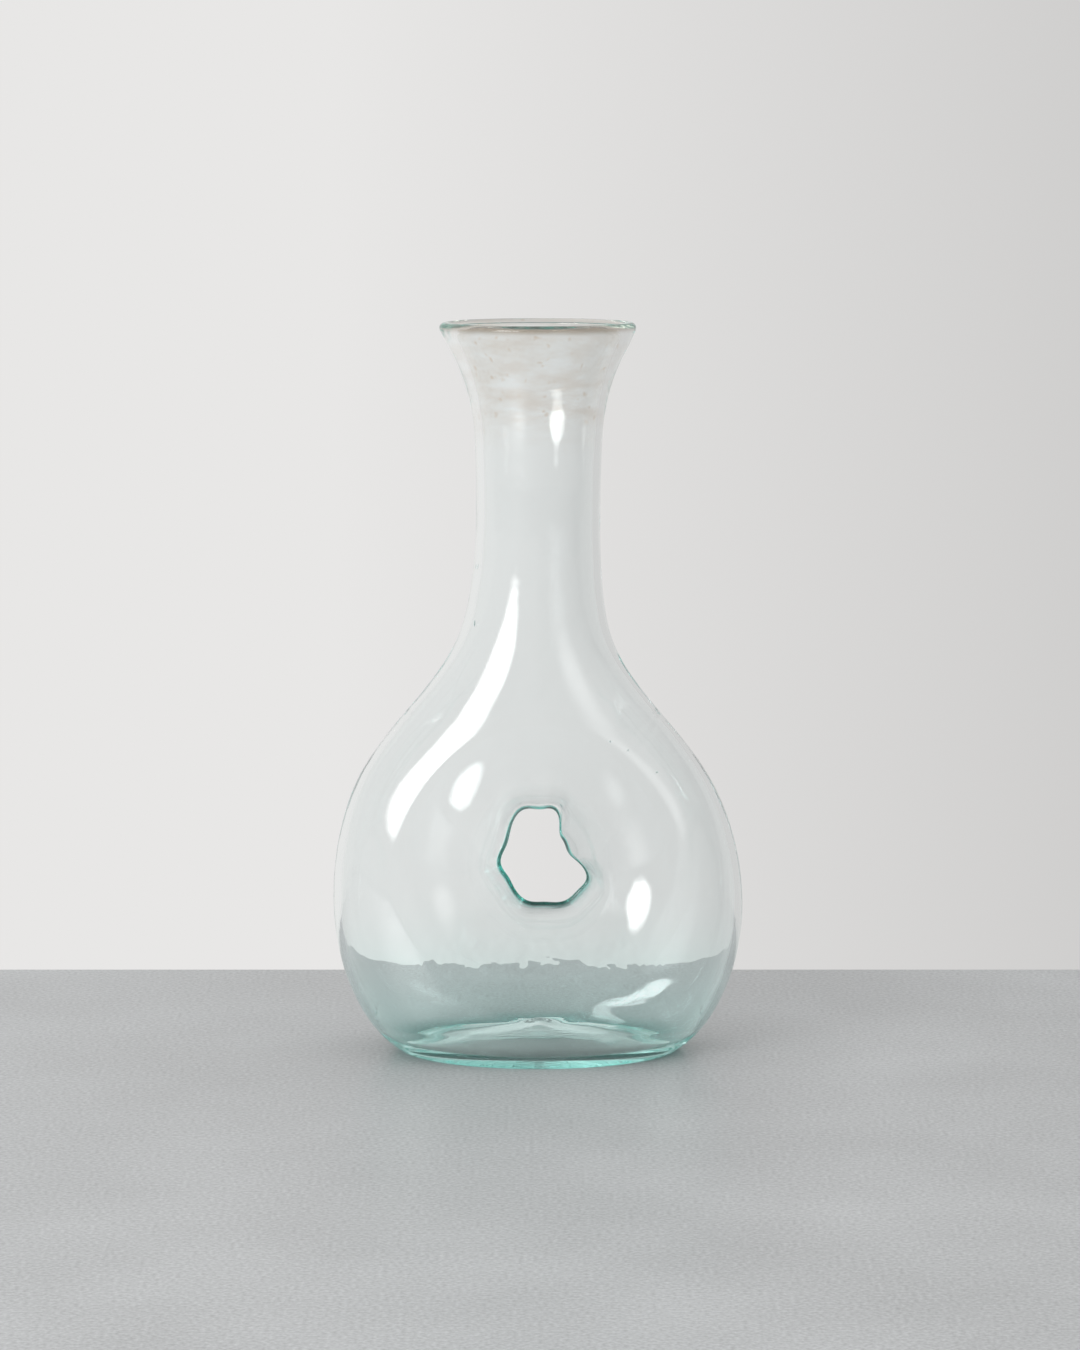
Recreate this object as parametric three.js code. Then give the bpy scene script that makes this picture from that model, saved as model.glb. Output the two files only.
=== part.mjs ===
// A hand-blown glass decanter: a flattened round body pierced right through, a drawn neck with
// a flared mouth, and a wrap of glass laid round the lip. Sizes are in millimetres, with +Z up.
// The origin is on the table under the middle of the body, and the front faces -Y.
import * as THREE from "three";

// Overall sizes
const HEIGHT = 270;
const BODY_WIDTH = 151.6;
const WIDEST_HEIGHT = 56;
const BODY_DEPTH = 74;
const DEEPEST_HEIGHT = 26;
const STANDING_WIDTH = 100;
const STANDING_DEPTH = 70;

// Neck, mouth and lip: the waist is where the neck is narrowest
const NECK_DIAMETER = 45.6;
const WAIST_HEIGHT = 200;
const MOUTH_DIAMETER = 71.2;
const LIP_THICKNESS = 4;
const LAP_SWELL = 0.6;
const LAP_TURN = Math.PI;
const LAP_SPREAD = 0.3;

// Glass thickness, measured level
const NECK_WALL = 2.8;
const BODY_WALL = 2.6;
const HEEL_WALL = 3.4;

// Base: a pushed-up punt inside a flat standing ring
const RING_WIDTH = 6;
const PUNT_HEIGHT = 8;
const PUNT_THICKNESS = 2.6;
const VALLEY_THICKNESS = 2.6;
const VALLEY_INSET = 4;

// Hole through the body, with its collar and the band behind it where the two walls are fused
const HOLE_X = 1;
const HOLE_HEIGHT = 72;
const HOLE_RADIUS = 15.4;
const COLLAR_WIDTH = 1.2;
const COLLAR_THICKNESS = 3;
const FUSED_WIDTH = 2;

// The hole's edge, as pairs of a direction in degrees seen from the front and a share of the radius
const HOLE_EDGE = [
  [-172, 0.98], [-150, 0.915], [-128, 1], [-107, 1.095], [-85, 1.08], [-61, 1.19], [-40, 1.18],
  [-24, 1.19], [-14, 1.04], [0, 0.755], [13, 0.65], [40, 0.67], [58, 0.82], [68, 1.095], [78, 1.215],
  [90, 1.18], [110, 1.245], [123, 1.155], [143, 0.95], [163, 0.89], [188, 0.98],
];

// The dents start along the hole's edge, and fade to round ones over this distance
const DENT_FADE = 8;

// The left shoulder is the fuller one: the body leans over by this much at this height
const LEAN = -2.2;
const LEAN_HEIGHT = 125;
const LEAN_SPREAD = 45;

// Heights of the level seams between the zones of the glass
const BASE_SEAM = 12;
const SHOULDER_SEAM = 126;
const NECK_SEAM = 162;

// Shapes, as shares: powers that bend a curve, and curves as pairs of position and value
const HEEL_POWER = 0.7;
const FLARE_POWER = 3.4;
const TRUMPET_POWER = 0.57;
const DENT_POWER = 1.5;
const DENT_FOOT = 0.07;
const ROUND_POWER = 2;
const FULL_POWER = 2.6;
const WIDTH_CURVE = [
  [0, 1], [0.2, 0.926], [0.375, 0.704], [0.514, 0.402], [0.653, 0.14], [0.79, 0.036], [1, 0],
];
const DEPTH_CURVE = [[0, 1], [0.17, 0.84], [0.35, 0.63], [0.51, 0.42], [0.64, 0.25], [0.8, 0.09], [1, 0]];

// Facets: round a ring, up a side of the body, and along each kind of section
const RING_STEPS = 36;
const SIDE_STEPS = 10;
const WALL_STEPS = 10;
const NECK_STEPS = 9;
const SHOULDER_STEPS = 5;
const HEEL_STEPS = 4;
const PUNT_STEPS = 5;
const LIP_STEPS = 8;
const COLLAR_STEPS = 6;

const LIP_RADIUS = LIP_THICKNESS / 2;
const LIP_RISE = Math.sqrt(LIP_RADIUS ** 2 - (NECK_WALL / 2) ** 2);
const MOUTH_HEIGHT = HEIGHT - LIP_RADIUS - LIP_RISE;

// The trumpet-shaped dent round the hole runs out before it reaches a seam
const DENT_RADIUS = Math.min(SHOULDER_SEAM - HOLE_HEIGHT, HOLE_HEIGHT - BASE_SEAM);

// A smooth curve through pairs of position and value
function smoothly(pairs, ending = THREE.ZeroSlopeEnding) {
  const curve = new THREE.CubicInterpolant(pairs.map(([at]) => at), pairs.map(([, value]) => value), 1);
  curve.settings = { endingStart: ending, endingEnd: ending };
  return (at) => curve.evaluate(at)[0];
}

// A size for a height, from its values at the standing ring, the fullest place, the waist and the mouth
function outline(z, [standing, fullest, neck, mouth], height, curve) {
  if (z <= height) {
    const below = 1 - z / height;
    return standing + (fullest - standing) * (1 - below ** 2) ** HEEL_POWER;
  }
  if (z <= WAIST_HEIGHT) return neck + (fullest - neck) * curve((z - height) / (WAIST_HEIGHT - height));
  const above = (z - WAIST_HEIGHT) / (MOUTH_HEIGHT - WAIST_HEIGHT);
  return neck + (mouth - neck) * above ** FLARE_POWER;
}

const neckRadius = NECK_DIAMETER / 2;
const mouthRadius = MOUTH_DIAMETER / 2;
const widths = [STANDING_WIDTH / 2, BODY_WIDTH / 2, neckRadius, mouthRadius];
const depths = [STANDING_DEPTH / 2, BODY_DEPTH / 2, neckRadius, mouthRadius];
const walls = [BODY_WALL, BODY_WALL, NECK_WALL, NECK_WALL];
const widthCurve = smoothly(WIDTH_CURVE);
const depthCurve = smoothly(DEPTH_CURVE);
const halfWidth = (z) => outline(z, widths, WIDEST_HEIGHT, widthCurve);
const halfDepth = (z) => outline(z, depths, DEEPEST_HEIGHT, depthCurve);
const leanAt = (z) => LEAN * Math.exp(-(((z - LEAN_HEIGHT) / LEAN_SPREAD) ** 2));

// The wall is thickest at the heel
function wallAt(z) {
  if (z < WIDEST_HEIGHT) return BODY_WALL + (HEEL_WALL - BODY_WALL) * (1 - z / WIDEST_HEIGHT) ** 3;
  return outline(z, walls, WIDEST_HEIGHT, widthCurve);
}

// A level section is an ellipse at the base and the neck, and squarer between them
function powerAt(z) {
  const up = THREE.MathUtils.clamp((z - BASE_SEAM) / (NECK_SEAM - BASE_SEAM), 0, 1);
  return ROUND_POWER + (FULL_POWER - ROUND_POWER) * Math.sin(Math.PI * up) ** 2;
}

// Numbers from 0 to 1 in even steps
const evenly = (steps) => Array.from({ length: steps + 1 }, (_, i) => i / steps);
const between = (from, to, steps) => evenly(steps).map((share) => from + (to - from) * share);

// A point on a level section, at a turn about the decanter's axis
function reachAt(z, turn) {
  const power = powerAt(z);
  return (Math.abs(Math.cos(turn)) ** power + Math.abs(Math.sin(turn)) ** power) ** (-1 / power);
}
function onOval(x, y, z, turn) {
  const reach = reachAt(z, turn);
  return new THREE.Vector3(leanAt(z) + x * reach * Math.cos(turn), y * reach * Math.sin(turn), z);
}
const outerPoint = (z, turn) => onOval(halfWidth(z), halfDepth(z), z, turn);
const innerPoint = (z, turn) => onOval(halfWidth(z) - wallAt(z), halfDepth(z) - wallAt(z), z, turn);

// A closed surface through a ring of sections. A section is a closed loop of points, or runs
// from the axis out and back to the axis again.
function sweep(sections, fromAxis = false) {
  const length = sections[0].length;
  const index = [];
  for (let i = 0; i < sections.length; i++) {
    const here = i * length;
    const next = ((i + 1) % sections.length) * length;
    for (let j = 0; j < (fromAxis ? length - 1 : length); j++) {
      const k = (j + 1) % length;
      if (!fromAxis || j > 0) index.push(here + j, next + j, here + k);
      if (!fromAxis || k < length - 1) index.push(next + j, next + k, here + k);
    }
  }
  const geometry = new THREE.BufferGeometry().setFromPoints(sections.flat());
  geometry.setIndex(index);
  geometry.computeVertexNormals();
  return geometry;
}

// One section for each turn about the decanter's axis
function turned(sectionAt) {
  return between(0, 2 * Math.PI, RING_STEPS).slice(0, -1).map(sectionAt);
}

// The glass between two level seams
function tube(low, high, steps) {
  const heights = between(low, high, steps);
  return sweep(turned((turn) => [
    ...heights.map((z) => outerPoint(z, turn)),
    ...heights.toReversed().map((z) => innerPoint(z, turn)),
  ]));
}

// Base: out along the underside of the punt, over the standing ring, up the heel to the seam,
// and back over the floor to the top of the punt
function baseGeometry() {
  const ringWidth = STANDING_WIDTH / 2 - RING_WIDTH;
  const ringDepth = STANDING_DEPTH / 2 - RING_WIDTH;
  const floorWidth = halfWidth(BASE_SEAM) - wallAt(BASE_SEAM);
  const floorDepth = halfDepth(BASE_SEAM) - wallAt(BASE_SEAM);
  const valleyWidth = STANDING_WIDTH / 2 - VALLEY_INSET;
  const valleyDepth = STANDING_DEPTH / 2 - VALLEY_INSET;
  const puntTop = PUNT_HEIGHT + PUNT_THICKNESS;
  const heel = between(0, BASE_SEAM, HEEL_STEPS);
  // Below the seam the inside rounds into a valley, and from there it rises to the punt
  const valleyAt = (share, turn) => {
    const out = Math.cos(share * Math.PI / 2);
    const x = valleyWidth + (floorWidth - valleyWidth) * out;
    const y = valleyDepth + (floorDepth - valleyDepth) * out;
    return onOval(x, y, BASE_SEAM - (BASE_SEAM - VALLEY_THICKNESS) * Math.sin(share * Math.PI / 2), turn);
  };
  const puntAt = (share, turn) => {
    const rise = THREE.MathUtils.smoothstep(share, 0, 1);
    const z = VALLEY_THICKNESS + (puntTop - VALLEY_THICKNESS) * (share + rise) / 2;
    return onOval(valleyWidth * (1 - share), valleyDepth * (1 - share), z, turn);
  };
  return sweep(turned((turn) => [
    onOval(0, 0, PUNT_HEIGHT, turn),
    onOval(ringWidth / 2, ringDepth / 2, PUNT_HEIGHT / 2, turn),
    onOval(ringWidth, ringDepth, 0, turn),
    ...heel.map((z) => outerPoint(z, turn)),
    innerPoint(BASE_SEAM, turn),
    ...evenly(HEEL_STEPS).slice(1).map((share) => valleyAt(share, turn)),
    ...evenly(PUNT_STEPS).slice(1).map((share) => puntAt(share, turn)),
  ]), true);
}

// Lip wrap: a round trail of glass seated on the mouth's flat edge, swollen where its ends lap
function lipGeometry() {
  const seatTurn = Math.asin(LIP_RISE / LIP_RADIUS);
  const middle = mouthRadius - NECK_WALL / 2;
  const turns = between(-seatTurn, Math.PI + seatTurn, LIP_STEPS);
  return sweep(turned((turn) => {
    const fromLap = Math.abs(turn - LAP_TURN) / LAP_SPREAD;
    const radius = LIP_RADIUS + LAP_SWELL * Math.exp(-(fromLap ** 2));
    return turns.map((roll, i) => {
      const reach = i === 0 || i === LIP_STEPS ? LIP_RADIUS : radius;
      const z = MOUTH_HEIGHT + LIP_RISE + LIP_RADIUS * Math.sin(roll);
      const out = middle + reach * Math.cos(roll);
      return onOval(out, out, z, turn);
    });
  }));
}

// The hole's edge in a direction seen from the front, as a distance from the hole's middle
const edgeCurve = smoothly(HOLE_EDGE, THREE.WrapAroundEnding);
function holeEdge(turn) {
  const [first] = HOLE_EDGE[0];
  const from = THREE.MathUtils.euclideanModulo(THREE.MathUtils.radToDeg(turn) - first, 360);
  return HOLE_RADIUS * edgeCurve(first + from);
}

// How far a face of the body stands from the middle plane: the bulb's depth, dented in to the least
// depth at a distance outside the hole's edge
function depthAt(x, z, wide, deep, start, least) {
  const across = Math.min(1, Math.abs(x - leanAt(z)) / wide);
  const power = powerAt(z);
  const bulb = deep * (1 - across ** power) ** (1 / power);
  const away = Math.hypot(x - HOLE_X, z - HOLE_HEIGHT) - start;
  const hole = holeEdge(Math.atan2(z - HOLE_HEIGHT, x - HOLE_X));
  const edge = HOLE_RADIUS + (hole - HOLE_RADIUS) * Math.exp(-Math.max(0, away - hole) / DENT_FADE);
  const share = THREE.MathUtils.clamp((away - edge) / (DENT_RADIUS - start - edge), 0, 1);
  const rise = (1 - (1 - share) ** DENT_POWER) ** TRUMPET_POWER * (1 - Math.exp(-share / DENT_FOOT));
  return least + (bulb - least) * rise;
}
function outerDepth(x, z) {
  return depthAt(x, z, halfWidth(z), halfDepth(z), COLLAR_WIDTH, COLLAR_THICKNESS / 2);
}
function innerDepth(x, z) {
  return depthAt(x, z, halfWidth(z) - wallAt(z), halfDepth(z) - wallAt(z), COLLAR_WIDTH + FUSED_WIDTH, 0);
}

// The border of a body wall, seen from the front: along the shoulder, down the left side, along
// the base and up the right side. The inside's border lies within the outside's by the wall.
function border(inset) {
  const half = between(0, Math.PI, RING_STEPS / 2);
  const at = (z, across) => new THREE.Vector2(leanAt(z) + across * (halfWidth(z) - inset(z)), z);
  const sides = between(SHOULDER_SEAM, BASE_SEAM, SIDE_STEPS).slice(1, -1);
  return [
    ...half.map((turn) => at(SHOULDER_SEAM, reachAt(SHOULDER_SEAM, turn) * Math.cos(turn))),
    ...sides.map((z) => at(z, -1)),
    ...half.map((turn) => at(BASE_SEAM, -reachAt(BASE_SEAM, turn) * Math.cos(turn))),
    ...sides.toReversed().map((z) => at(z, 1)),
  ];
}
const outerBorder = border(() => 0);
const innerBorder = border(wallAt);

// The ray from the hole's middle to a border point, starting at a distance outside the hole's edge
function rayTo(end, start) {
  const away = new THREE.Vector2(end.x - HOLE_X, end.y - HOLE_HEIGHT);
  const turn = Math.atan2(away.y, away.x);
  const from = (holeEdge(turn) + start) / away.length();
  return { turn, at: (share) => away.clone().multiplyScalar(from + (1 - from) * share) };
}

// Front wall: the outside from the collar to the border, then the inside back to the fused band
function wallGeometry() {
  const shares = evenly(WALL_STEPS).map((share) => (1 - Math.cos(Math.PI * share)) / 2);
  const onFace = (flat, depth) => new THREE.Vector3(HOLE_X + flat.x, -depth, HOLE_HEIGHT + flat.y);
  const seen = (ray, depth) => shares.map((share, i) => {
    const flat = ray.at(share);
    return onFace(flat, depth(HOLE_X + flat.x, HOLE_HEIGHT + flat.y, i));
  });
  return sweep(outerBorder.map((end, i) => {
    const outside = rayTo(end, COLLAR_WIDTH);
    const inside = rayTo(innerBorder[i], COLLAR_WIDTH + FUSED_WIDTH);
    const starts = (x, z, step) => (step === 0 ? 0 : innerDepth(x, z));
    return [
      onFace(outside.at(0), 0),
      ...seen(inside, starts),
      ...seen(outside, outerDepth).toReversed(),
    ];
  }));
}

// Hole collar: a half-round lip that joins the two walls
function collarGeometry() {
  return sweep(outerBorder.map((end) => {
    const { turn } = rayTo(end, 0);
    const edge = holeEdge(turn) + COLLAR_WIDTH;
    return between(-Math.PI / 2, Math.PI / 2, COLLAR_STEPS).map((roll) => {
      const away = edge - COLLAR_WIDTH * Math.cos(roll);
      const x = HOLE_X + away * Math.cos(turn);
      const z = HOLE_HEIGHT + away * Math.sin(turn);
      return new THREE.Vector3(x, COLLAR_THICKNESS / 2 * Math.sin(roll), z);
    });
  }));
}

// Clear recycled glass is faintly green, and it deepens where the glass is thick
function glass(color) {
  const look = { color, roughness: 0.03, metalness: 0, transparent: true, opacity: 0.35 };
  return new THREE.MeshStandardMaterial(look);
}
const CLEAR = "#dfeae7";
const THICK = "#a9d6cc";
const EDGE = "#5fa593";
const TOOLED = "#d3cdc0";

function piece(name, geometry, color) {
  const mesh = new THREE.Mesh(geometry, glass(color));
  mesh.name = name;
  return mesh;
}

const decanter = new THREE.Group();
decanter.add(piece("lip_wrap", lipGeometry(), TOOLED));
decanter.add(piece("neck", tube(NECK_SEAM, MOUTH_HEIGHT, NECK_STEPS), CLEAR));
decanter.add(piece("shoulder", tube(SHOULDER_SEAM, NECK_SEAM, SHOULDER_STEPS), CLEAR));
decanter.add(piece("front_wall", wallGeometry(), CLEAR));
decanter.add(piece("hole_collar", collarGeometry(), EDGE));
decanter.add(piece("base", baseGeometry(), THICK));

// The back wall is the front wall's mirror image
const backWall = piece("back_wall", wallGeometry(), CLEAR);
backWall.scale.y = -1;
decanter.add(backWall);

export default decanter;
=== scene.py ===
"""A hand-blown decanter with a pierced body, dressed in fused recycled glass on a plain pale table."""

import math

import bmesh
import bpy
import numpy as np
from bpy.props import FloatProperty, FloatVectorProperty, IntProperty, PointerProperty
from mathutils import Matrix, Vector, noise


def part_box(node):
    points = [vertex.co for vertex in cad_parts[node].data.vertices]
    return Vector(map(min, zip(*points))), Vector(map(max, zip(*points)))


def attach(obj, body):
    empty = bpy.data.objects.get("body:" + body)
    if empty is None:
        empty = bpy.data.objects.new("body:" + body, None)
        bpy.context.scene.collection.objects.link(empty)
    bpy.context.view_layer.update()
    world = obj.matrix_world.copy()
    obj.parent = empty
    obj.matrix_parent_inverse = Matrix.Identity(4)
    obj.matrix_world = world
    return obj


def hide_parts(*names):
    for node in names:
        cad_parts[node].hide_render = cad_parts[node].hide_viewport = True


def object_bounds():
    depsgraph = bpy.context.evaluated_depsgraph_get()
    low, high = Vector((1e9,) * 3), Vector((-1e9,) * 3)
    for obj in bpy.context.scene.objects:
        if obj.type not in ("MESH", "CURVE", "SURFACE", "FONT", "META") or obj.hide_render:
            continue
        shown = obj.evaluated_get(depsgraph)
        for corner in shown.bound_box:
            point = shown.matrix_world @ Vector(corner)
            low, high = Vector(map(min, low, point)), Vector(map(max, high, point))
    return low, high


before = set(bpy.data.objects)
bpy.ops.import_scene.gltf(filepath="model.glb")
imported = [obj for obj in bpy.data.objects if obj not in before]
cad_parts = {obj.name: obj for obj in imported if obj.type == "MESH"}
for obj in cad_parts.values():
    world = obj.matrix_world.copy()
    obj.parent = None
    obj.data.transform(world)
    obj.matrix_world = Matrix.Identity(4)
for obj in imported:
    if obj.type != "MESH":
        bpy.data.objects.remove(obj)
CAD_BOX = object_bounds()

bl_info = {
    "name": "Pierced Glass Decanter",
    "version": (1, 0, 0),
    "blender": (4, 5, 0),
    "location": "View3D > Sidebar > Decanter",
    "description": "Builds a hand-blown decanter with a pierced body, on a plain pale table",
    "category": "Add Mesh",
}

MM = 0.001
MERGE_DISTANCE = 0.005 * MM

# Rows of points: up the shoulder, the lower neck and the flare, and over the lip
SHOULDER_ROWS, NECK_ROWS, FLARE_ROWS, LIP_ROWS = 34, 20, 70, 20
# Under and over the base, up the heel, down into the valley, and round the edge of the hole
BASE_ROWS, HEEL_ROWS, VALLEY_ROWS, EDGE_ROWS = 40, 24, 18, 11
SEED_TURNS, SEED_ROWS = 16, 9

# Heights in metres over which the film in the mouth and the stain and painted shade of the lip grow from
# nothing to full
FILM_HEIGHTS = 0.22, 0.244
STAIN_AND_SHADE_HEIGHTS = 0.2662, 0.2686

# The crumples lie on the back of the lower body: an axis, where they begin and where they are full
CRUMPLE_FADES = (
    ("Z", 0.042, 0.03), ("Z", 0.008, 0.018), ("Y", 0.0, 0.02), ("X", -0.05, -0.036), ("X", 0.05, 0.03),
)

# The lamps, one bright in front on the left and one weak across from it: name, watts, place, and how far
# from the middle each shines evenly, of the 0.5 to its rim
LAMPS = (("softbox", 15, (-1.03, -1.29, 0.517), 0.35), ("fill_card", 2.4, (1.03, -1.29, 0.517), 0.1))
LAMP_WIDTH, LAMP_HEIGHT, LAMP_RIM = 1.14, 0.75, 0.5
LAMP_TARGET = Vector((0, 0, 0.12))

# Light crosses many faces of the glass, and runs along inside it, before it leaves
LIGHT_BOUNCES = 1024

# How bright the room's light is, how far the table reaches to the sides and the front, where the camera
# stands across, and the width of its frame in millimetres
ROOM_LIGHT = 0.75
TABLE_REACH = 3.0
CAMERA_ASIDE = 0.55 * MM
SENSOR_WIDTH = 36

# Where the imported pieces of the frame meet: the vessel's zones follow them
BASE_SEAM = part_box("base")[1].z
SHOULDER_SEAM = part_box("shoulder")[0].z
NECK_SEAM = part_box("neck")[0].z
TOP_HEIGHT = CAD_BOX[1].z

# Each curve is a row of pairs. Up from the fullest place to the waist: share of the way, share left
WIDTH_CURVE = ((0, 1), (0.2, 0.926), (0.375, 0.704), (0.514, 0.402), (0.653, 0.14), (0.79, 0.036), (1, 0))
DEPTH_CURVE = (
    (0, 1), (0.153, 0.942), (0.306, 0.724), (0.417, 0.584), (0.556, 0.387), (0.722, 0.173), (1, 0),
)

# How square a level section is: height in metres, and its power, which is 2 for an ellipse
SQUARENESS = (
    (0, 2), (0.012, 2.5), (0.03, 2.65), (0.055, 2.55), (0.087, 2.6), (0.125, 2.29), (0.162, 2),
)

# Up from the waist to the lip: share of the way, share of the widening
FLARE_CURVE = (
    (0, 0), (0.147, 0.004), (0.294, 0.024), (0.441, 0.058), (0.588, 0.163), (0.676, 0.278),
    (0.765, 0.44), (0.853, 0.651), (0.912, 0.817), (0.956, 0.925), (1, 1),
)

# Out from the middle of the base to the standing ring: share of the way, share of the punt's rise
PUNT_CURVE = (
    (0, 1), (0.06, 0.955), (0.3, 0.72), (0.5, 0.51), (0.7, 0.29), (0.85, 0.122), (0.93, 0.034), (1, 0),
)

# From the valley of the floor to its middle: share of the way, share of the rise
FLOOR_CURVE = (
    (0, 0), (0.12, 0.05), (0.3, 0.23), (0.5, 0.45), (0.7, 0.67), (0.88, 0.87), (0.95, 0.955), (1, 1),
)

# The hole's edge: direction in degrees, seen from the front, and a share of the hole's radius
HOLE_EDGE = (
    (-172, 0.98), (-150, 0.915), (-128, 1), (-107, 1.095), (-85, 1.08), (-61, 1.19), (-40, 1.18),
    (-24, 1.19), (-14, 1.04), (0, 0.755), (13, 0.65), (40, 0.67), (58, 0.82), (68, 1.095), (78, 1.215),
    (90, 1.18), (110, 1.245), (123, 1.155), (143, 0.95), (163, 0.89), (188, 0.98),
)

# Painted green and shade on the melted edge of the hole: the green of its thick glass, and painted shade of
# the light caught in it, paler where glints fall. Direction in degrees and a share from clear to deep green
EDGE_GREEN_AND_SHADE = (
    (-172, 1), (-128, 1), (-90, 1), (-61, 0.95), (-45, 0.6), (-30, 0.5), (-16, 0.7), (0, 0.45), (20, 0.5),
    (45, 0.45), (60, 0.25), (70, 0.6), (90, 0.35), (105, 0.5), (123, 0.6), (150, 0.75), (188, 1),
)

# Seeds, the small bubbles left in the front: place across, height, half width and half height in mm
SEEDS = (
    (26, 119, 0.3, 0.3), (32.4, 115.7, 0.26, 0.42), (42.9, 107.3, 0.36, 0.26), (-6.8, 94.8, 0.42, 0.4),
    (8.6, 93.7, 0.4, 1.0), (-21.6, 181, 0.3, 0.9), (-22.6, 160.7, 0.36, 1.2),
)


def length(name, description, millimetres):
    """A size that a user would change, kept in metres."""
    return FloatProperty(
        name=name, description=description, default=millimetres * MM, unit="LENGTH", precision=4
    )


def colour(name, description, sheet):
    """A colour that a user would change, written as an sRGB hex value."""
    return FloatVectorProperty(
        name=name, description=description, default=linear(sheet), subtype="COLOR", size=3, min=0, max=1
    )


def linear(sheet):
    """Linear red, green and blue of an sRGB hex value."""
    parts = [int(sheet[i : i + 2], 16) / 255 for i in (1, 3, 5)]
    return tuple(p / 12.92 if p <= 0.04045 else ((p + 0.055) / 1.055) ** 2.4 for p in parts)


def add_node(tree, kind, inputs=None, **settings):
    """Adds a node with its settings, and fills each named input with a value or a link."""
    made = tree.nodes.new(kind)
    for name, value in settings.items():
        setattr(made, name, value)
    for name, value in (inputs or {}).items():
        if isinstance(value, bpy.types.NodeSocket):
            tree.links.new(value, made.inputs[name])
        else:
            made.inputs[name].default_value = value
    return made


class VesselSizes(bpy.types.PropertyGroup):
    """Sizes of the blown vessel."""

    body_width: length("Body width", "Width of the body at its widest", 151.6)
    widest_height: length("Widest height", "Height at which the body is widest", 56)
    body_depth: length("Body depth", "Depth of the body at its deepest", 73.4)
    deepest_height: length("Deepest height", "Height at which the body is deepest", 20)
    standing_width: length("Standing width", "Width of the standing ring", 100)
    standing_depth: length("Standing depth", "Depth of the standing ring", 70)
    neck_diameter: length("Neck diameter", "Outside of the neck at its waist", 45.6)
    waist_height: length("Waist height", "Height at which the neck is narrowest", 200)
    mouth_diameter: length("Mouth diameter", "Outside of the lip", 71.2)
    lip_thickness: length("Lip thickness", "Thickness of the rounded lip", 4)
    mouth_low: length("Mouth low", "Height at which the glass of the mouth begins to thicken", 235)
    mouth_high: length("Mouth high", "Height at which the glass of the mouth is as thick as the lip", 258)
    lap_swell: length("Lap swell", "How far the end of the lip's wrap stands out", 0.6)
    lap_height: length("Lap height", "Height of the lip's wrap", 7)
    neck_wall: length("Neck wall", "Glass thickness in the neck", 2.8)
    body_wall: length("Body wall", "Glass thickness in the body", 2.6)
    heel_wall: length("Heel wall", "Glass thickness at the heel", 3.4)
    hole_x: length("Hole across", "Sideways place of the hole's middle", 1)
    hole_height: length("Hole height", "Height of the hole's middle", 72)
    hole_radius: length("Hole radius", "Radius of the hole, which its uneven edge goes round", 15.4)
    collar_width: length("Collar width", "Width of the rounded edge of the hole", 0.75)
    collar_thickness: length("Collar thickness", "Thickness of the glass at the hole", 2.2)
    fused_width: length("Fused width", "Width of the band where front and back are fused", 0.9)
    dent_fade: length("Dent fade", "Distance over which the dent grows from the hole's shape to round", 8)
    punt_height: length("Punt height", "Rise of the pushed-up base underneath", 8)
    punt_thickness: length("Punt thickness", "Glass thickness at the top of the punt", 2.6)
    valley_thickness: length("Valley thickness", "Glass thickness in the valley round the floor", 2.6)
    valley_inset: length("Valley inset", "How far inside the standing ring the valley lies", 5.5)
    lean: length("Lean", "How far the fuller left shoulder pulls the body over", -2.2)
    lean_height: length("Lean height", "Height at which the body leans most", 125)
    lean_spread: length("Lean spread", "How far up and down the lean fades", 45)
    ripple: length("Ripple", "Height of the waves that the blowing left in the glass", 0.03)
    ripple_length: length("Ripple length", "Distance from wave to wave", 11)
    body_green: FloatProperty(
        name="Body green", description="How green the lower body is, from clear to deep", default=0.12
    )
    foot_green: FloatProperty(
        name="Foot green", description="How much greener the standing ring is than the body", default=0.13
    )
    foot_height: length("Foot height", "Height of the greener glass at the standing ring", 5)
    ring_steps: IntProperty(name="Ring steps", description="Facets round the neck", default=220, min=24)
    side_steps: IntProperty(name="Side steps", description="Facets up a side of the body", default=60, min=8)
    wall_steps: IntProperty(
        name="Wall steps", description="Facets from the hole to the seams", default=50, min=8
    )


class GlassLook(bpy.types.PropertyGroup):
    """Colours of the glass."""

    clear: colour("Clear", "Faint green of the thin walls", "#fdffff")
    # The two edge colours are the green of the hole's thick melted edge and painted shade of the light
    # caught in it; the paler one is painted where glints fall
    edge: colour("Edge", "Deep green of the melted edge of the hole, where the glass is thick", "#0c7464")
    pale_edge_green_and_shade: colour("Thin edge", "Grey green of the melted edge, where the glass is thin", "#6f8482")
    foot: colour("Foot", "Aqua of the thick glass at the standing ring", "#9cf6ec")
    tooled: colour("Tooled", "Pale brown film that the tools left in the mouth", "#f3ece6")
    scale: colour("Scale", "Rust-brown flecks in that film", "#d3ad80")
    # The rim colour is partly a warm stain and partly painted shade: the brown grey dark band that the thick
    # lip shows on its front
    rim: colour("Rim", "Warm stain of the lip, which the green of the glass turns brown grey", "#bcae9f")
    depth: colour("Depth", "Colour that light keeps inside thick glass", "#38f0ea")
    density: FloatProperty(
        name="Density", description="How fast the glass takes up light, per metre", default=1.5, min=0
    )


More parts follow.
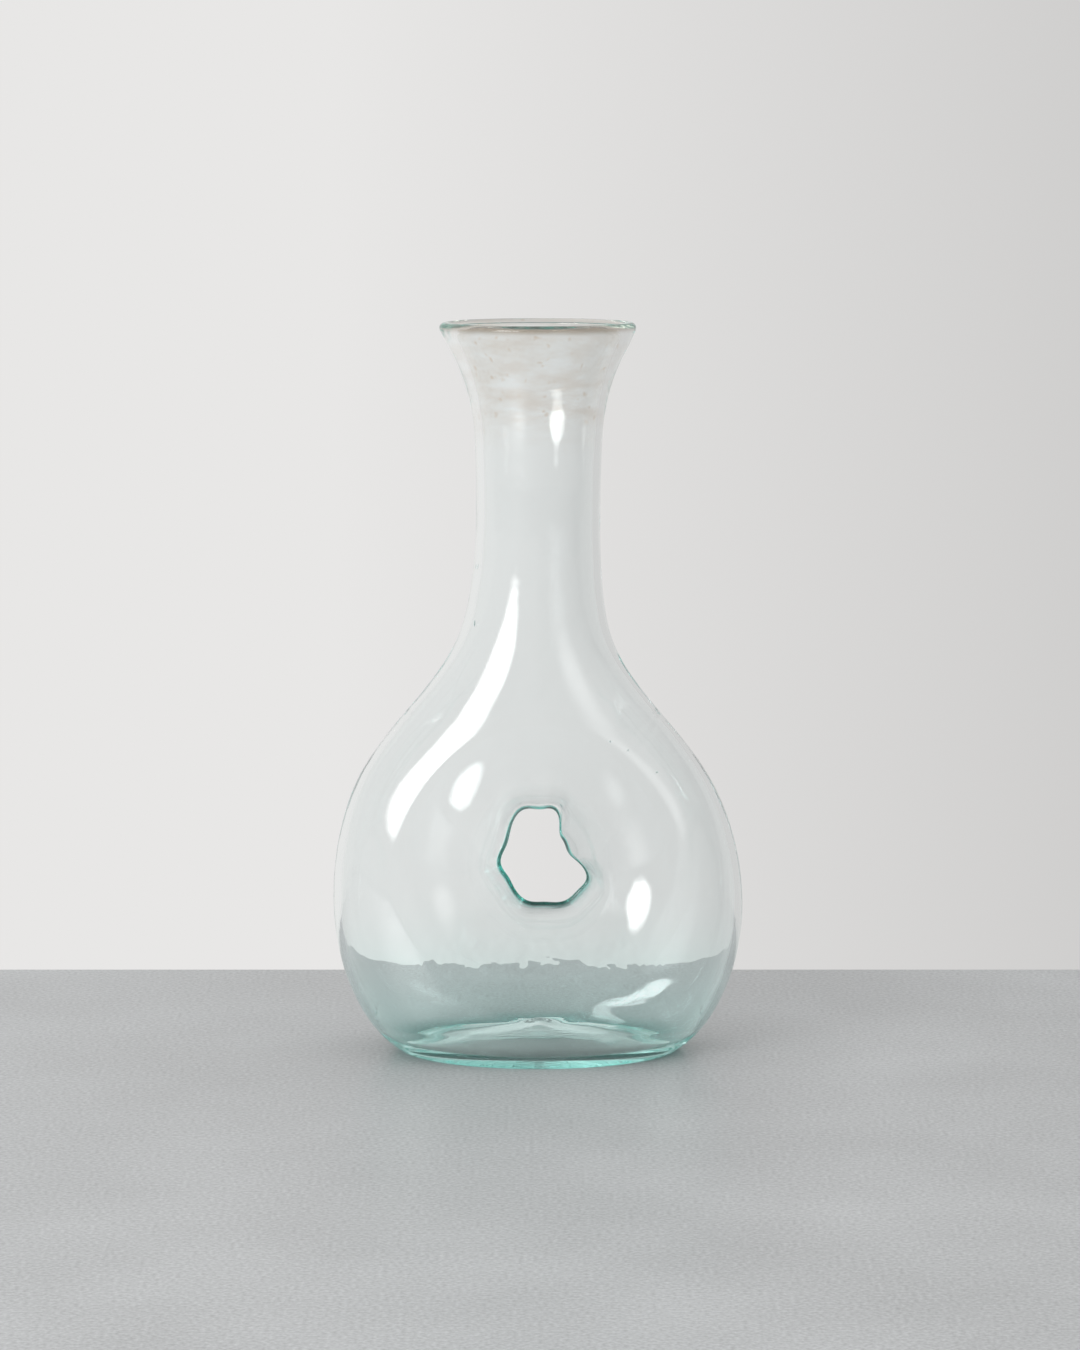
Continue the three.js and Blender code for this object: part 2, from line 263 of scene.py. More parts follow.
class StageLook(bpy.types.PropertyGroup):
    """Colours and light of the studio."""

    table: colour("Table", "Colour of the table", "#bfc1c2")
    wall: colour("Wall", "Colour of the wall behind", "#e8e7e6")
    table_depth: length("Table depth", "How far the table reaches behind the decanter", 146)
    camera_distance: length("Camera distance", "From the decanter's axis, level", 1500)
    camera_height: length("Camera height", "Height above the table", 335.5)
    camera_tilt: FloatProperty(
        name="Camera tilt",
        description="How far the camera looks down",
        default=math.radians(7.415),
        subtype="ANGLE",
    )
    camera_lens: FloatProperty(
        name="Lens", description="Focal length on a 36 mm frame, in millimetres", default=109.46
    )
    shade: FloatProperty(
        name="Shade", description="Brightness of the wall on the right, as a share of the left", default=0.78
    )
    room: FloatProperty(
        name="Room", description="Brightness of the room in front, as a share of the wall's", default=0.65
    )


def eased(share):
    """An S-curve from 0 to 1 with level, even ends."""
    share = np.clip(share, 0, 1)
    return share**3 * (share * (share * 6 - 15) + 10)


class Curve:
    """A smooth curve through pairs, level at both ends, or joined end to end as a loop."""

    def __init__(self, pairs, loop=False):
        self.places, self.values = np.array(pairs, float).T
        self.loop = loop
        gaps = np.diff(self.places)
        rises = np.diff(self.values) / gaps
        last = len(gaps)
        sides = np.eye(last + 1)
        slopes = np.zeros(last + 1)
        for i in range(0 if loop else 1, last):
            before, here = gaps[i - 1], gaps[i]
            sides[i] = 0
            sides[i, i - 1 if i else last - 1] = 1 / before
            sides[i, i] = 2 / before + 2 / here
            sides[i, i + 1] = 1 / here
            slopes[i] = 3 * (rises[i - 1] / before + rises[i] / here)
        if loop:
            sides[last, 0] = -1
        self.slopes = np.linalg.solve(sides, slopes)

    def __call__(self, place):
        first, last = self.places[[0, -1]]
        place = first + np.mod(place - first, last - first) if self.loop else np.clip(place, first, last)
        i = np.clip(np.searchsorted(self.places, place, side="right") - 1, 0, len(self.places) - 2)
        gap = self.places[i + 1] - self.places[i]
        p = (place - self.places[i]) / gap
        start = (2 * p**3 - 3 * p**2 + 1) * self.values[i] + (p**3 - 2 * p**2 + p) * gap * self.slopes[i]
        end = (3 * p**2 - 2 * p**3) * self.values[i + 1] + (p**3 - p**2) * gap * self.slopes[i + 1]
        return start + end


class Form:
    """The vessel's shape, worked out from its sizes. Arrays go in and come out."""

    # How sharply the heel turns, across and in depth, how the dent opens, and how the green fades upwards
    heel_power = 0.7
    foot_power = 0.61
    trumpet_power = 0.57
    dent_power = 1.5
    dent_foot = 0.07
    tint_power = 1.5
    # How far round the lip the lap of its wrap spreads, in radians from the left
    lap_spread = 0.3

    def __init__(self, sizes):
        self.s = sizes
        self.dent_radius = min(SHOULDER_SEAM - sizes.hole_height, sizes.hole_height - BASE_SEAM)
        self.lip_height = TOP_HEIGHT - sizes.lip_thickness / 2
        self.width_curve = Curve(WIDTH_CURVE)
        self.depth_curve = Curve(DEPTH_CURVE)
        self.flare_curve = Curve(FLARE_CURVE)
        self.edge_curve = Curve(HOLE_EDGE, loop=True)
        self.power = Curve(SQUARENESS)

    def outline(self, z, standing, fullest, height, power, curve):
        """A half size up to the waist, from its values at the ring and the fullest place."""
        s = self.s
        neck = s.neck_diameter / 2
        below = np.clip(1 - z / height, 0, 1)
        low = standing + (fullest - standing) * (1 - below**2) ** power
        high = neck + (fullest - neck) * curve((z - height) / (s.waist_height - height))
        return np.where(z <= height, low, high)

    def half_width(self, z):
        s = self.s
        ends = s.standing_width / 2, s.body_width / 2
        return self.outline(z, *ends, s.widest_height, self.heel_power, self.width_curve)

    def half_depth(self, z):
        s = self.s
        ends = s.standing_depth / 2, s.body_depth / 2
        return self.outline(z, *ends, s.deepest_height, self.foot_power, self.depth_curve)

    def wall(self, z):
        """Glass thickness, measured level."""
        s = self.s
        heel = (s.heel_wall - s.body_wall) * np.clip(1 - z / s.widest_height, 0, 1) ** 3
        left = self.width_curve((z - s.widest_height) / (s.waist_height - s.widest_height))
        return s.neck_wall + (s.body_wall - s.neck_wall) * left + heel

    def lean(self, z):
        s = self.s
        return s.lean * np.exp(-(((z - s.lean_height) / s.lean_spread) ** 2))

    def reach(self, power, turns):
        """How far a level section of a power reaches in each direction, against its half sizes."""
        return (np.abs(np.cos(turns)) ** power + np.abs(np.sin(turns)) ** power) ** (-1 / power)

    def tint(self, z):
        """How green the glass is at a height: it ran down while soft, and is thickest at the foot."""
        body = self.s.body_green * np.clip(1 - z / self.s.widest_height, 0, 1) ** self.tint_power
        return body + self.s.foot_green * np.clip(1 - z / self.s.foot_height, 0, 1)

    def hole_edge(self, turn):
        """Distance from the hole's middle to its edge, in a direction seen from the front."""
        return self.s.hole_radius * self.edge_curve(np.degrees(turn))

    def depth(self, x, z, inset, start, least):
        """How far a face of the body stands from the middle plane: the bulb, dented in to the hole."""
        s = self.s
        across = np.minimum(1, np.abs(x - self.lean(z)) / (self.half_width(z) - inset))
        power = self.power(z)
        bulb = (self.half_depth(z) - inset) * (1 - across**power) ** (1 / power)
        away = np.hypot(x - s.hole_x, z - s.hole_height) - start
        hole = self.hole_edge(np.arctan2(z - s.hole_height, x - s.hole_x))
        fade = np.exp(-np.maximum(0, away - hole) / s.dent_fade)
        edge = s.hole_radius + (hole - s.hole_radius) * fade
        share = np.clip((away - edge) / (self.dent_radius - start - edge), 0, 1)
        trumpet = (1 - (1 - share) ** self.dent_power) ** self.trumpet_power
        return least + (bulb - least) * trumpet * (1 - np.exp(-share / self.dent_foot))

    def outside(self, x, z):
        """Depth of the body's outside."""
        return self.depth(x, z, 0, self.s.collar_width, self.s.collar_thickness / 2)

    def inside(self, x, z):
        """Depth of the body's inside, which starts behind the fused band round the hole."""
        return self.depth(x, z, self.wall(z), self.s.collar_width + self.s.fused_width, 0)

    def ring(self, z, inset, turns):
        """Points on the level section at a height, drawn in by an inset."""
        reach = self.reach(self.power(z), turns)
        x = self.lean(z) + (self.half_width(z) - inset) * reach * np.cos(turns)
        y = (self.half_depth(z) - inset) * reach * np.sin(turns)
        return np.stack([x, y, np.full_like(turns, z)], axis=-1)

    def border(self, inset):
        """The border of a body wall seen from the front: shoulder, left side, base and right side."""
        s = self.s
        half = np.linspace(0, np.pi, s.ring_steps // 2 + 1)
        sides = np.linspace(SHOULDER_SEAM, BASE_SEAM, s.side_steps + 1)[1:-1]
        top, bottom = np.full_like(half, SHOULDER_SEAM), np.full_like(half, BASE_SEAM)
        heights = np.concatenate([top, sides, bottom, sides[::-1]])
        left, right = -np.ones_like(sides), np.ones_like(sides)
        over, under = (np.cos(half) * self.reach(self.power(z), half) for z in (top, bottom))
        across = np.concatenate([over, left, -under, right])
        x = self.lean(heights) + across * (self.half_width(heights) - inset(heights))
        return np.stack([x, heights], axis=-1)


class Skin:
    """Collects grids of points into one mesh, with how green the glass is at each point, and at the hole's
    edge its painted shade.
    """

    def __init__(self):
        self.points = []
        self.greens = []
        self.faces = []
        self.count = 0

    def add(self, grid, flip=False, green=0.0):
        """Adds a grid of rows of points. Each row is a closed ring."""
        rows, columns = grid.shape[:2]
        index = self.count + np.arange(rows * columns).reshape(rows, columns)
        self.points.append(grid.reshape(-1, 3))
        self.greens.append(np.broadcast_to(green, (rows, columns)).reshape(-1))
        self.count += rows * columns
        side = np.roll(index, -1, axis=1)
        quads = np.stack([index[:-1], side[:-1], side[1:], index[1:]], axis=-1).reshape(-1, 4)
        self.faces.append(quads[:, ::-1] if flip else quads)

    def mesh(self, name, sizes):
        """One closed mesh: the borders of the grids are joined, and the waves of the glass are laid on."""
        made = bpy.data.meshes.new(name)
        made.from_pydata(np.concatenate(self.points).tolist(), [], np.concatenate(self.faces).tolist())
        greens = made.attributes.new("green", "FLOAT", "POINT")
        greens.data.foreach_set("value", np.concatenate(self.greens))
        shaped = bmesh.new()
        shaped.from_mesh(made)
        bmesh.ops.remove_doubles(shaped, verts=shaped.verts, dist=MERGE_DISTANCE)
        bmesh.ops.dissolve_degenerate(shaped, edges=shaped.edges, dist=MERGE_DISTANCE)
        shaped.normal_update()
        for point in shaped.verts:
            rise = sizes.ripple * min(1, point.co.z / sizes.valley_thickness)
            point.co += point.normal * rise * noise.noise(point.co / sizes.ripple_length)
        for face in shaped.faces:
            face.smooth = True
        shaped.to_mesh(made)
        shaped.free()
        return made


def add_body(skin, form):
    """The two walls of the body, outside and inside, from the edge of the hole to the seams."""
    s = form.s
    middle = np.array([s.hole_x, s.hole_height])
    steps = (1 - np.cos(np.linspace(0, np.pi, s.wall_steps + 1))) / 2

    def spread(border, start):
        """Flat points along each ray from the hole's edge to the border: steps by rays by two."""
        away = border - middle
        far = np.hypot(away[:, 0], away[:, 1])
        near = form.hole_edge(np.arctan2(away[:, 1], away[:, 0])) + start
        shares = near / far + (1 - near / far) * steps[:, None]
        return middle + shares[..., None] * away

    def faced(flat, depth, side):
        return np.stack([flat[..., 0], side * depth, flat[..., 1]], axis=-1)

    outer = spread(form.border(lambda z: 0 * z), s.collar_width)
    inner = spread(form.border(form.wall), s.collar_width + s.fused_width)
    outer_depth = form.outside(outer[..., 0], outer[..., 1])
    inner_depth = form.inside(inner[..., 0], inner[..., 1])
    inner_depth[0] = 0
    on_side = np.zeros(outer.shape[1], bool)
    half = s.ring_steps // 2 + 1
    on_side[half : half + s.side_steps - 1] = True
    on_side[2 * half + s.side_steps - 1 :] = True
    outer_depth[-1, on_side] = 0
    inner_depth[-1, on_side] = 0

    # The rounded edge of the hole: a quarter of an ellipse on each side of the middle plane
    rolls = np.linspace(0, np.pi / 2, EDGE_ROWS)[:-1]
    rays = outer[0] - middle
    far = np.hypot(rays[:, 0], rays[:, 1])
    nose = 1 - s.collar_width * np.cos(rolls)[:, None] / far
    nose_flat = middle + nose[..., None] * rays
    nose_depth = np.repeat(s.collar_thickness / 2 * np.sin(rolls)[:, None], len(far), axis=1)
    # The edge of the hole gets its green by direction as seen from the front: the thick glass's green
    # together with painted shade of the light caught in it, paler where glints fall, fading over the fused
    # band
    nose_green_and_shade = Curve(EDGE_GREEN_AND_SHADE, loop=True)(np.degrees(np.arctan2(rays[:, 1], rays[:, 0])))
    behind = np.hypot(outer[..., 0] - outer[0, :, 0], outer[..., 1] - outer[0, :, 1])
    behind = nose_green_and_shade * np.clip(1 - behind / s.fused_width, 0, 1)
    green = np.concatenate([nose_green_and_shade + 0 * nose_depth, np.maximum(behind, form.tint(outer[..., 1]))])

    for side in (-1, 1):
        outside = np.concatenate([faced(nose_flat, nose_depth, side), faced(outer, outer_depth, side)])
        skin.add(outside, flip=side < 0, green=green)
        skin.add(faced(inner, inner_depth, side), flip=side > 0)


def add_neck(skin, form):
    """Shoulder, neck and flared mouth, outside and inside, closed over the top by the rounded lip."""
    s = form.s
    turns = np.linspace(0, 2 * np.pi, s.ring_steps, endpoint=False)
    low = np.concatenate([
        np.linspace(SHOULDER_SEAM, NECK_SEAM, SHOULDER_ROWS)[:-1],
        np.linspace(NECK_SEAM, s.waist_height, NECK_ROWS)[:-1],
    ])
    outside = [form.ring(z, 0, turns) for z in low]
    inside = [form.ring(z, form.wall(z), turns) for z in low[::-1]]

    # Above the waist the outside flares, and the inside follows it as the glass thickens to the lip
    high = np.linspace(s.waist_height, form.lip_height, FLARE_ROWS)
    neck = s.neck_diameter / 2
    flare = form.flare_curve((high - high[0]) / (high[-1] - high[0]))
    line = neck + (s.mouth_diameter / 2 - neck) * flare
    slope = np.gradient(line, high)
    out, down = 1 / np.hypot(1, slope), -slope / np.hypot(1, slope)
    thick = eased((high - s.mouth_low) / (s.mouth_high - s.mouth_low))
    thick = s.neck_wall + (s.lip_thickness - s.neck_wall) * thick
    lap = s.lap_swell * np.exp(-(((turns - np.pi) / form.lap_spread) ** 2))
    lap = lap * eased(1 - (form.lip_height - high) / s.lap_height)[:, None]

    def rings(radius, height):
        x = form.lean(height) + radius * np.cos(turns)
        return np.stack([x, radius * np.sin(turns), height], axis=-1)

    flared = rings(line[:, None] + lap, high[:, None] + 0 * turns)
    inner = rings((line - thick * out)[:, None] + 0 * turns, (high - thick * down)[:, None] + 0 * turns)
    rolls = np.linspace(0, np.pi, LIP_ROWS)[1:-1, None]
    half = (thick[-1] + lap[-1]) / 2
    over = form.lip_height + s.lip_thickness / 2 * np.sin(rolls + 0 * turns)
    rounded = rings(line[-1] + lap[-1] - half * (1 - np.cos(rolls)), over)
    skin.add(np.concatenate([outside, flared, rounded, inner[::-1], inside]))


def add_base(skin, form):
    """Heel, standing ring and punt outside, and the floor with its valley inside."""
    s = form.s
    turns = np.linspace(0, 2 * np.pi, s.ring_steps, endpoint=False)
    standing = np.array([s.standing_width, s.standing_depth]) / 2

    def oval(size, z, power=2):
        reach = form.reach(power, turns)
        x = form.lean(z) + size[0] * reach * np.cos(turns)
        return np.stack([x, size[1] * reach * np.sin(turns), np.full_like(turns, z)], axis=-1)

    def floor(z):
        """Half width and half depth of the inside at a height."""
        return np.array([form.half_width(z), form.half_depth(z)]) - form.wall(z)

    shares = np.linspace(0, 1, BASE_ROWS)
    punt = s.punt_height * Curve(PUNT_CURVE)(shares)
    under = [oval(standing * share, z) for share, z in zip(shares, punt)]
    heel = BASE_SEAM * np.linspace(0, 1, HEEL_ROWS)[1:] ** 2
    # The outer eighth of the underside is green too
    green = np.concatenate([form.tint(0) * np.clip(shares * 8 - 7, 0, 1), form.tint(heel)])
    skin.add(np.array(under + [form.ring(z, 0, turns) for z in heel]), green=green[:, None])

    # The inside goes on down from the wall, bends into the valley and rises to the middle
    edge = floor(BASE_SEAM)
    valley = standing - s.valley_inset
    fall = BASE_SEAM - s.valley_thickness
    bend = edge - fall * (floor(BASE_SEAM + MM) - edge) / MM
    square = form.power(BASE_SEAM) - 2
    sides = []
    for t in np.linspace(0, 1, VALLEY_ROWS):
        size = (1 - t) ** 2 * edge + 2 * t * (1 - t) * bend + t**2 * valley
        sides.append(oval(size, BASE_SEAM - fall * t * (2 - t), 2 + square * (1 - t)))
    rise = (s.punt_height + s.punt_thickness - s.valley_thickness) * Curve(FLOOR_CURVE)(shares)
    heights = s.valley_thickness + rise
    middle = [oval(valley * (1 - share), z) for share, z in zip(shares[1:], heights[1:])]
    skin.add(np.array(sides + middle))


def add_seeds(skin, form):
    """The bubbles that stayed in the glass, as closed hollows half way through the front wall."""
    turns = np.linspace(0, 2 * np.pi, SEED_TURNS, endpoint=False)
    rolls = np.linspace(0, np.pi, SEED_ROWS)[:, None]
    for x, z, wide, high in np.array(SEEDS) * MM:
        deep = -(form.outside(x, z) + form.inside(x, z)) / 2
        across = np.sin(rolls) * np.cos(turns)
        through = np.sin(rolls) * np.sin(turns)
        up = np.cos(rolls) + 0 * turns
        skin.add(np.stack([x + wide * across, deep + wide * through, z + high * up], axis=-1))


def tooled_film(tree, place, axes, look):
    """What the tools left in the mouth, and painted shade on the front of the lip: its colour, and where the
    film lies.
    """
    height = axes.outputs["Z"]

    # The film lies in blotches 16 mm long and 5 mm high, and thins out 26 to 50 mm below the lip
    turned = add_node(tree, "ShaderNodeMapping", {
        "Vector": place, "Scale": (1 / 0.016, 1 / 0.016, 1 / 0.005)
    })
    smears = add_node(tree, "ShaderNodeTexNoise", {
        "Vector": turned.outputs["Vector"], "Scale": 1.0, "Detail": 5.0, "Roughness": 0.65
    })
    smeared = add_node(tree, "ShaderNodeMapRange", {
        "Value": smears.outputs["Fac"], "From Min": 0.4, "From Max": 0.75
    })
    above = add_node(tree, "ShaderNodeMapRange", {
        "Value": height, "From Min": FILM_HEIGHTS[0], "From Max": FILM_HEIGHTS[1]
    }, interpolation_type="SMOOTHSTEP")
    film = add_node(tree, "ShaderNodeMath", {
        0: above.outputs["Result"], 1: smeared.outputs["Result"]
    }, operation="MULTIPLY")
    filmed = add_node(tree, "ShaderNodeMix", {
        "Factor": film.outputs[0], "A": (1, 1, 1, 1), "B": (*look.tooled, 1)
    }, data_type="RGBA")

    # Flecks of scale in the film, 2 mm wide and 15 mm apart
    grains = add_node(tree, "ShaderNodeTexNoise", {"Vector": place, "Scale": 1 / 0.004, "Detail": 1.0})
    flecks = add_node(tree, "ShaderNodeMapRange", {
        "Value": grains.outputs["Fac"], "From Min": 0.7, "From Max": 0.78, "To Max": 0.5
    })
    flecked = add_node(tree, "ShaderNodeMath", {
        0: flecks.outputs["Result"], 1: above.outputs["Result"]
    }, operation="MULTIPLY")
    scaly = add_node(tree, "ShaderNodeMix", {
        "Factor": flecked.outputs[0], "A": filmed.outputs["Result"], "B": (*look.scale, 1)
    }, data_type="RGBA")

    # The lip is stained all round, and its front gets painted shade on top: the dark band that the thick lip
    # shows on its front
    lip = add_node(tree, "ShaderNodeMapRange", {
        "Value": height, "From Min": STAIN_AND_SHADE_HEIGHTS[0], "From Max": STAIN_AND_SHADE_HEIGHTS[1]
    }, interpolation_type="SMOOTHSTEP")
    painted_front_shade = add_node(tree, "ShaderNodeMapRange", {
        "Value": axes.outputs["Y"], "From Min": 0.02, "From Max": -0.01, "To Min": 0.4
    }, interpolation_type="SMOOTHSTEP")
    stain_and_shade = add_node(tree, "ShaderNodeMath", {
        0: lip.outputs["Result"], 1: painted_front_shade.outputs["Result"]
    }, operation="MULTIPLY")
    stained_and_shaded = add_node(tree, "ShaderNodeMix", {
        "Factor": stain_and_shade.outputs[0], "A": scaly.outputs["Result"], "B": (*look.rim, 1)
    }, data_type="RGBA")
    return stained_and_shaded.outputs["Result"], film.outputs[0]


def blown_waves(tree, place, axes):
    """The normal of glass that was blown and moved while soft."""
    # Fine waves on all the glass, 7 mm long and a few hundredths of a millimetre high
    fine = add_node(tree, "ShaderNodeTexNoise", {"Vector": place, "Scale": 1 / 0.007, "Detail": 1.0})
    waves = add_node(tree, "ShaderNodeBump", {
        "Height": fine.outputs["Fac"], "Strength": 0.5, "Distance": 0.06 * MM
    })

    # Crumples 14 mm long, which make the far edge of the table look jagged through the glass
    short = add_node(tree, "ShaderNodeTexNoise", {"Vector": place, "Scale": 1 / 0.014, "Detail": 2.0})
    crumpled = short.outputs["Fac"]
    for axis, start, stop in CRUMPLE_FADES:
        fade = add_node(tree, "ShaderNodeMapRange", {
            "Value": axes.outputs[axis], "From Min": start, "From Max": stop
        }, interpolation_type="SMOOTHSTEP")
        crumpled = add_node(tree, "ShaderNodeMath", {
            0: crumpled, 1: fade.outputs["Result"]
        }, operation="MULTIPLY").outputs[0]
    crumples = add_node(tree, "ShaderNodeBump", {
        "Height": crumpled,
        "Strength": 1.0,
        "Distance": 0.7 * MM,
        "Normal": waves.outputs["Normal"],
    })
    return crumples.outputs["Normal"]


def fused_glass(look):
    """Recycled soda-lime glass, blown and fire-polished."""
    # Thin walls are nearly colourless and long ways through the glass turn sea green. The edge of the hole,
    # melted together from both walls, is a dark green line: the green of its thick glass with painted shade
    # of the light caught in it. The tools left a pale brown film in the mouth, with flecks of scale in it,
    # and a brown grey lip, whose front also has painted shade of the dark band the thick lip shows.
    made = bpy.data.materials.new("recycled_soda_lime_glass_fire_polished")
    made.use_nodes = True
    tree = made.node_tree
    tree.nodes.clear()
    place = add_node(tree, "ShaderNodeTexCoord").outputs["Object"]
    axes = add_node(tree, "ShaderNodeSeparateXYZ", {"Vector": place})
    stained_and_shaded, film = tooled_film(tree, place, axes, look)

    # From clear over the aqua of the base and the grey green to the deep green of the hole's edge, whose
    # greens are also painted shade
    edge = add_node(tree, "ShaderNodeAttribute", attribute_name="green")
    greens = add_node(tree, "ShaderNodeValToRGB", {"Fac": edge.outputs["Fac"]})
    greens.color_ramp.elements[0].color = (*look.clear, 1)
    greens.color_ramp.elements[1].color = (*look.edge, 1)
    greens.color_ramp.elements.new(0.25).color = (*look.foot, 1)
    greens.color_ramp.elements.new(0.5).color = (*look.pale_edge_green_and_shade, 1)
    tinted = add_node(tree, "ShaderNodeMix", {
        "Factor": 1.0, "A": stained_and_shaded, "B": greens.outputs["Color"]
    }, data_type="RGBA", blend_type="MULTIPLY")

    # The film is a little dull
    dull = add_node(tree, "ShaderNodeMath", {0: film, 1: 0.08}, operation="MULTIPLY")
    glass = add_node(tree, "ShaderNodeBsdfPrincipled", {
        "Base Color": tinted.outputs["Result"],
        "Roughness": dull.outputs[0],
        "IOR": 1.52,
        "Transmission Weight": 1.0,
        "Normal": blown_waves(tree, place, axes),
    })
    inside = add_node(tree, "ShaderNodeVolumeAbsorption", {
        "Color": (*look.depth, 1), "Density": look.density
    })
    add_node(tree, "ShaderNodeOutputMaterial", {
        "Surface": glass.outputs["BSDF"], "Volume": inside.outputs["Volume"]
    })
    return made


def honed_stone(look):
    """Pale grey stone, honed flat."""
    # Fine dark and light grains on a softly clouded ground, with a dull shine at a low angle
    made = bpy.data.materials.new("grey_stone_honed")
    made.use_nodes = True
    tree = made.node_tree
    surface = tree.nodes["Principled BSDF"]
    place = add_node(tree, "ShaderNodeTexCoord").outputs["Object"]
    # Grains 1.5 mm wide on clouds 90 mm wide
    grains = add_node(tree, "ShaderNodeTexNoise", {"Vector": place, "Scale": 1 / 0.0015, "Detail": 2.0})
    clouds = add_node(tree, "ShaderNodeTexNoise", {"Vector": place, "Scale": 1 / 0.09, "Detail": 3.0})
    ground = add_node(tree, "ShaderNodeMix", {
        "Factor": 0.35, "A": grains.outputs["Fac"], "B": clouds.outputs["Fac"]
    })
    shade = add_node(tree, "ShaderNodeMapRange", {
        "Value": ground.outputs["Result"], "From Min": 0.3, "From Max": 0.7, "To Min": 0.74, "To Max": 1.24
    })
    toned = add_node(tree, "ShaderNodeVectorMath", {
        0: look.table, "Scale": shade.outputs["Result"]
    }, operation="SCALE")
    dull = add_node(tree, "ShaderNodeMapRange", {
        "Value": clouds.outputs["Fac"], "From Min": 0.3, "From Max": 0.7, "To Min": 0.34, "To Max": 0.44
    })
    tree.links.new(toned.outputs["Vector"], surface.inputs["Base Color"])
    tree.links.new(dull.outputs["Result"], surface.inputs["Roughness"])
    return made


class DECANTER_OT_vessel(bpy.types.Operator):
    """Blows the vessel as one closed piece of glass"""

    bl_idname = "decanter.blow_vessel"
    bl_label = "Blow Vessel"

    def execute(self, context):
        form = Form(context.scene.decanter_sizes)
        skin = Skin()
        add_body(skin, form)
        add_neck(skin, form)
        add_base(skin, form)
        add_seeds(skin, form)
        vessel = bpy.data.objects.new("vessel", skin.mesh("vessel", form.s))
        context.scene.collection.objects.link(vessel)
        vessel.data.materials.append(fused_glass(context.scene.decanter_glass))
        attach(vessel, "root")
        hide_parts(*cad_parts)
        return {"FINISHED"}


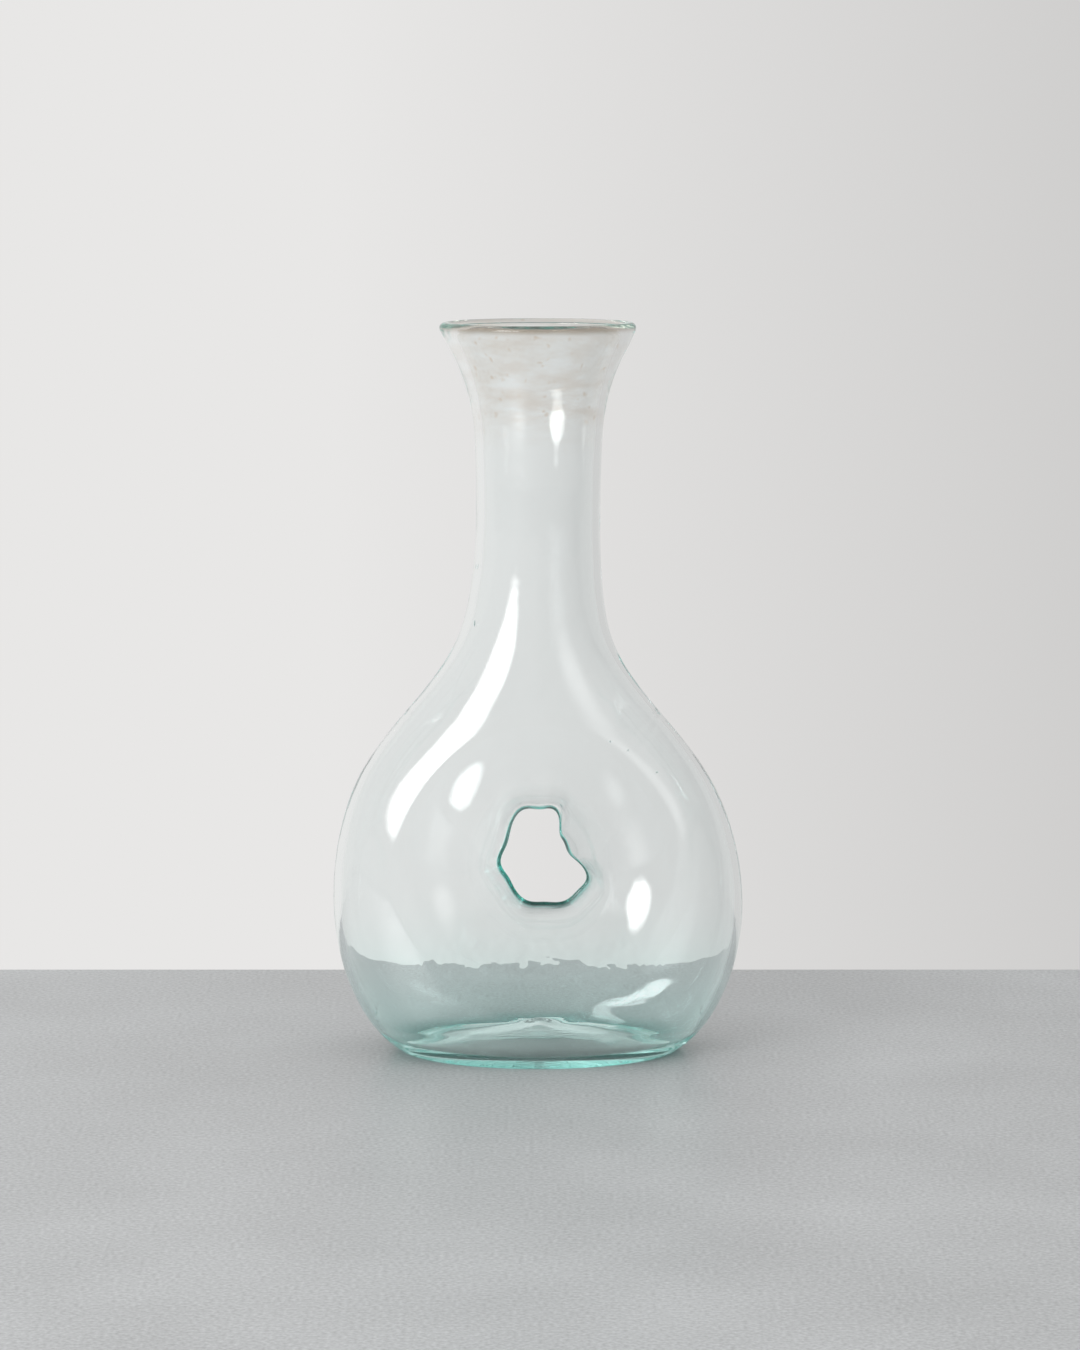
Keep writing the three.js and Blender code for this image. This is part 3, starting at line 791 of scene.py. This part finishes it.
class DECANTER_OT_stage(bpy.types.Operator):
    """Sets the table, the pale wall, the lamps and the camera"""

    bl_idname = "decanter.set_stage"
    bl_label = "Set Stage"

    def execute(self, context):
        look = context.scene.decanter_stage
        self.table(context, look)
        self.room(context, look)
        self.lamps(context)
        self.camera(context, look)
        return {"FINISHED"}

    def table(self, context, look):
        wide, near, far = TABLE_REACH, -TABLE_REACH, look.table_depth
        corners = [(-wide, near, 0), (wide, near, 0), (wide, far, 0), (-wide, far, 0)]
        mesh = bpy.data.meshes.new("table")
        mesh.from_pydata(corners, [], [(0, 1, 2, 3)])
        mesh.materials.append(honed_stone(look))
        table = bpy.data.objects.new("table", mesh)
        context.scene.collection.objects.link(table)

    def room(self, context, look):
        world = bpy.data.worlds.new("pale_room")
        world.use_nodes = True
        tree = world.node_tree
        tree.nodes.clear()
        path = add_node(tree, "ShaderNodeLightPath")
        seen = add_node(tree, "ShaderNodeMath", {
            0: path.outputs["Is Camera Ray"], 1: path.outputs["Is Glossy Ray"]
        }, operation="MAXIMUM")
        seen = add_node(tree, "ShaderNodeMath", {
            0: seen.outputs[0], 1: path.outputs["Is Transmission Ray"]
        }, operation="MAXIMUM")
        light = add_node(tree, "ShaderNodeBackground", {"Color": (1, 1, 1, 1), "Strength": ROOM_LIGHT})
        # The wall is behind the decanter and dims to the right, and the room in front of it is dimmer
        way = add_node(tree, "ShaderNodeTexCoord").outputs["Generated"]
        way = add_node(tree, "ShaderNodeSeparateXYZ", {"Vector": way})
        lit = add_node(tree, "ShaderNodeMapRange", {
            "Value": way.outputs["Y"], "From Min": -0.6, "From Max": 0.6, "To Min": look.room
        }, interpolation_type="SMOOTHSTEP")
        aside = add_node(tree, "ShaderNodeMapRange", {
            "Value": way.outputs["X"],
            "From Min": -0.05,
            "From Max": 0.13,
            "To Min": 1,
            "To Max": look.shade,
        })
        dimmed = add_node(tree, "ShaderNodeMath", {
            0: lit.outputs["Result"], 1: aside.outputs["Result"]
        }, operation="MULTIPLY")
        wall = add_node(tree, "ShaderNodeBackground", {
            "Color": (*look.wall, 1), "Strength": dimmed.outputs[0]
        })
        mix = add_node(tree, "ShaderNodeMixShader", {
            0: seen.outputs[0], 1: light.outputs[0], 2: wall.outputs[0]
        })
        add_node(tree, "ShaderNodeOutputWorld", {"Surface": mix.outputs[0]})
        context.scene.world = world

    def lamps(self, context):
        for lamp in LAMPS:
            self.softbox(context, *lamp)
        context.scene.cycles.max_bounces = LIGHT_BOUNCES
        context.scene.cycles.glossy_bounces = LIGHT_BOUNCES
        context.scene.cycles.transmission_bounces = LIGHT_BOUNCES

    def softbox(self, context, name, energy, place, core):
        """An oval lamp, aimed at the body, that dims from its core to its rim."""
        light = bpy.data.lights.new(name, "AREA")
        light.shape = "ELLIPSE"
        light.size = LAMP_WIDTH
        light.size_y = LAMP_HEIGHT
        light.energy = energy
        light.use_nodes = True
        tree = light.node_tree
        spot = add_node(tree, "ShaderNodeNewGeometry").outputs["Parametric"]
        away = add_node(tree, "ShaderNodeVectorMath", {0: spot, 1: (0.5, 0.5, 0)}, operation="DISTANCE")
        glow = add_node(tree, "ShaderNodeMapRange", {
            "Value": away.outputs["Value"], "From Min": LAMP_RIM, "From Max": core
        }, interpolation_type="SMOOTHSTEP")
        tree.links.new(glow.outputs["Result"], tree.nodes["Emission"].inputs["Strength"])
        lamp = bpy.data.objects.new(name, light)
        lamp.location = place
        lamp.rotation_euler = (LAMP_TARGET - lamp.location).to_track_quat("-Z", "Y").to_euler()
        context.scene.collection.objects.link(lamp)

    def camera(self, context, look):
        view = bpy.data.cameras.new("camera")
        view.lens = look.camera_lens
        view.sensor_width = SENSOR_WIDTH
        camera = bpy.data.objects.new("camera", view)
        camera.location = (CAMERA_ASIDE, -look.camera_distance, look.camera_height)
        camera.rotation_euler = (math.pi / 2 - look.camera_tilt, 0, 0)
        context.scene.collection.objects.link(camera)
        context.scene.camera = camera
        context.scene.view_settings.view_transform = "Standard"


class DECANTER_PT_panel(bpy.types.Panel):
    """Lists the decanter's operators and sizes"""

    bl_label = "Decanter"
    bl_idname = "DECANTER_PT_panel"
    bl_space_type = "VIEW_3D"
    bl_region_type = "UI"
    bl_category = "Decanter"

    def draw(self, context):
        for operator in (DECANTER_OT_vessel, DECANTER_OT_stage):
            self.layout.operator(operator.bl_idname)
        for name in GROUPS:
            group = getattr(context.scene, name)
            box = self.layout.box()
            for size in group.bl_rna.properties.keys()[1:]:
                box.prop(group, size)


GROUPS = {"decanter_sizes": VesselSizes, "decanter_glass": GlassLook, "decanter_stage": StageLook}
CLASSES = (*GROUPS.values(), DECANTER_OT_vessel, DECANTER_OT_stage, DECANTER_PT_panel)


def register():
    for made in CLASSES:
        bpy.utils.register_class(made)
    for name, group in GROUPS.items():
        setattr(bpy.types.Scene, name, PointerProperty(type=group))


def unregister():
    for name in GROUPS:
        delattr(bpy.types.Scene, name)
    for made in reversed(CLASSES):
        bpy.utils.unregister_class(made)


def main():
    register()
    bpy.ops.decanter.blow_vessel()
    bpy.ops.decanter.set_stage()


if __name__ == "__main__":
    main()
